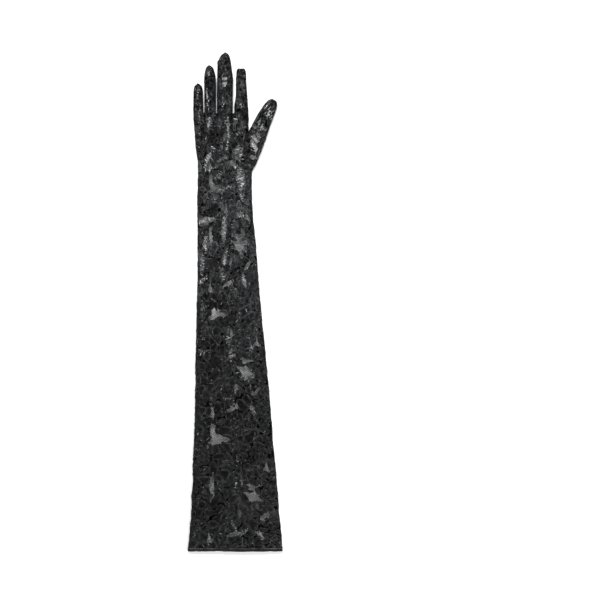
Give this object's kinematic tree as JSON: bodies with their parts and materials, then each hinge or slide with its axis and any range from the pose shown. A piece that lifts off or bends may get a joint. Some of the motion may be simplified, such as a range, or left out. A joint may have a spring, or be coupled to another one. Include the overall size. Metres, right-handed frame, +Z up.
{
  "type": "long lace glove",
  "caption": "Shoulder-length dress glove in floral corded lace, laid flat, for a left hand, open at the hem and hollow up into each finger.",
  "frame": {"origin": "middle of the glove's outline, on the surface that it lies on", "axes": "+Y along the arm from the hem towards the fingertips, +X towards the thumb, +Z up out of the back of the hand"},
  "size_m": [0.1336, 0.696, 0.0093],
  "materials": {
    "lace": "black corded lace on fine net with a soft sheen",
    "side_lace": "black corded lace strip on fine net",
    "hem_lace": "black lace turned double and stitched"
  },
  "bodies": {
    "root": {"back_panel": "lace", "palm_panel": "lace", "thumb": "lace", "fourchette_ring_little": "side_lace", "fourchette_middle_ring": "side_lace", "fourchette_index_middle": "side_lace", "hem_band": "hem_lace"}
  },
  "joints": []
}
